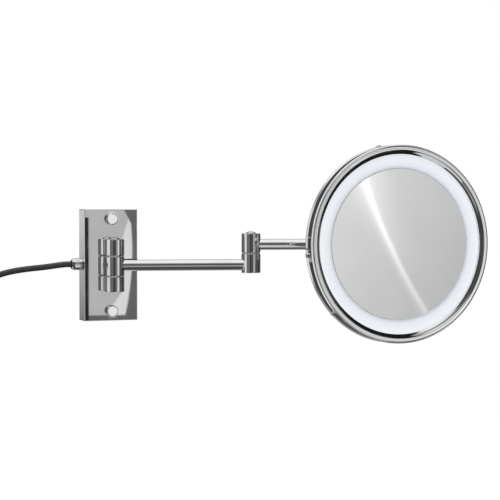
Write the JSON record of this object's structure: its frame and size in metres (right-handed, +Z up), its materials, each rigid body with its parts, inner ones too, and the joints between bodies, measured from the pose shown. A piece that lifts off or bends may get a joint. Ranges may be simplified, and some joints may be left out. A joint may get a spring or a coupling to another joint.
{
  "type": "wall mounted shaving mirror",
  "caption": "Round lit shaving mirror on a two-section swing arm, with a rectangular wall box, hinged barrels and a coiled mains lead.",
  "frame": {"origin": "centre of the wall bracket's back face, on the wall", "axes": "+Z up, +Y into the wall, +X along the wall towards the side that the arm reaches to; the mirror faces -Y"},
  "size_m": [0.6328, 0.1642, 0.3357],
  "materials": {
    "chrome": "polished",
    "steel": "zinc plated",
    "nylon": "natural",
    "brass": "nickel free",
    "white_plastic": "satin",
    "black_rubber": "matt",
    "cord_sheath": "satin",
    "frosted": "frosted",
    "mirror": "silvered",
    "circuit_board": "satin"
  },
  "bodies": {
    "wall_box": {"wall_bracket": "steel", "box_cover": "chrome", "cover_stud_upper": "steel", "cover_stud_lower": "steel", "cap_nut_upper": "chrome", "cap_nut_lower": "chrome", "led_driver": "white_plastic", "terminal_block": "white_plastic", "wall_knuckle_upper": "chrome", "wall_knuckle_lower": "chrome", "hinge_screw_upper": "steel", "hinge_screw_lower": "steel", "wall_hinge_pin": "steel", "wall_washer_upper": "nylon", "wall_washer_lower": "nylon", "wall_barrel_cap": "chrome", "cord_gland": "chrome", "gland_nut": "brass", "gland_bushing": "black_rubber", "feed_lead": "cord_sheath", "cord": "cord_sheath", "cord_coil": "cord_sheath", "cord_tail": "cord_sheath", "coil_tie": "black_rubber", "plug_body": "cord_sheath"},
    "lower_arm": {"wall_arm_knuckle": "chrome", "lower_arm_tube": "chrome", "lower_arm_wire": "black_rubber", "elbow_lower_knuckle": "chrome", "elbow_pin": "steel", "elbow_washer": "nylon"},
    "upper_arm": {"elbow_upper_knuckle": "chrome", "elbow_cap": "chrome", "upper_arm_tube": "chrome", "upper_arm_wire": "black_rubber", "pan_arm_knuckle": "chrome"},
    "swivel": {"swivel_fork": "chrome", "pan_pin": "steel", "pan_washer_upper": "nylon", "pan_washer_lower": "nylon", "pan_cap": "chrome", "tilt_screw": "steel", "tilt_nut": "steel"},
    "mirror_head": {"tilt_bracket": "chrome", "flange_screw_1": "steel", "flange_screw_2": "steel", "flange_screw_3": "steel", "back_housing": "chrome", "bezel_ring": "chrome", "glass_gasket": "black_rubber", "diffuser_ring": "frosted", "mirror_glass": "mirror", "mirror_backing": "white_plastic", "light_channel": "white_plastic", "led_board": "circuit_board", "rim_screw_1": "chrome", "rim_screw_2": "chrome", "rim_screw_3": "chrome", "switch_body": "black_rubber"},
    "switch": {"switch_button": "chrome"}
  },
  "joints": [
    {"name": "wall_pivot", "type": "hinge", "parent": "wall_box", "child": "lower_arm", "pos_m": [0, -0.036, 0], "axis": [0, 0, 1], "range_deg": [-80, 12]},
    {"name": "elbow_pivot", "type": "hinge", "parent": "lower_arm", "child": "upper_arm", "pos_m": [0.14506, -0.07217, 0], "axis": [0, 0, 1], "range_deg": [-90, 90]},
    {"name": "head_pan", "type": "hinge", "parent": "upper_arm", "child": "swivel", "pos_m": [0.2843, -0.10688, 0.0223], "axis": [0, 0, 1], "range_deg": [-25, 90]},
    {"name": "head_tilt", "type": "hinge", "parent": "swivel", "child": "mirror_head", "pos_m": [0.2843, -0.12888, 0.0232], "axis": [1, 0, 0], "range_deg": [-20, 20]},
    {"name": "switch_press", "type": "slide", "parent": "mirror_head", "child": "switch", "axis": [0.9945, 0, 0.1045], "range_m": [0, 0.0005], "stiffness_N_per_m": 800, "springref_m": -0.0005}
  ]
}
